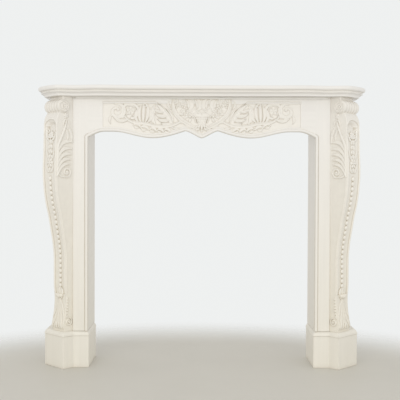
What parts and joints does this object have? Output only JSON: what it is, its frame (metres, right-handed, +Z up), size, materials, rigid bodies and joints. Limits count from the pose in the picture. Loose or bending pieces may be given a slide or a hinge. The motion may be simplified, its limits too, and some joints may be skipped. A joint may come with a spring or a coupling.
{
  "type": "fireplace mantelpiece",
  "caption": "Carved and painted wooden fire surround with a shaped shelf, a scalloped frieze with a carved panel, and canted S-shaped consoles on plinth blocks.",
  "frame": {"origin": "on the floor, at the middle of the bounding box in plan", "axes": "+X along the width, +Y towards the wall, +Z up"},
  "size_m": [1.29, 0.2699, 1.1],
  "materials": {
    "cream_paint": "antique cream paint on wood, satin",
    "cream_paint_carved": "antique cream paint on carved wood, satin, with darker wax in the hollows"
  },
  "bodies": {
    "root": {"shelf": "cream_paint", "bed_moulding": "cream_paint", "frieze": "cream_paint", "carved_panel": "cream_paint_carved", "pilaster_left": "cream_paint", "pilaster_right": "cream_paint", "inner_return_left": "cream_paint", "inner_return_right": "cream_paint", "canted_board_left": "cream_paint", "canted_board_right": "cream_paint", "outer_return_left": "cream_paint", "outer_return_right": "cream_paint", "console_left": "cream_paint_carved", "console_right": "cream_paint_carved", "plinth_cap_left": "cream_paint", "plinth_cap_right": "cream_paint", "plinth_left": "cream_paint", "plinth_right": "cream_paint"}
  },
  "joints": []
}
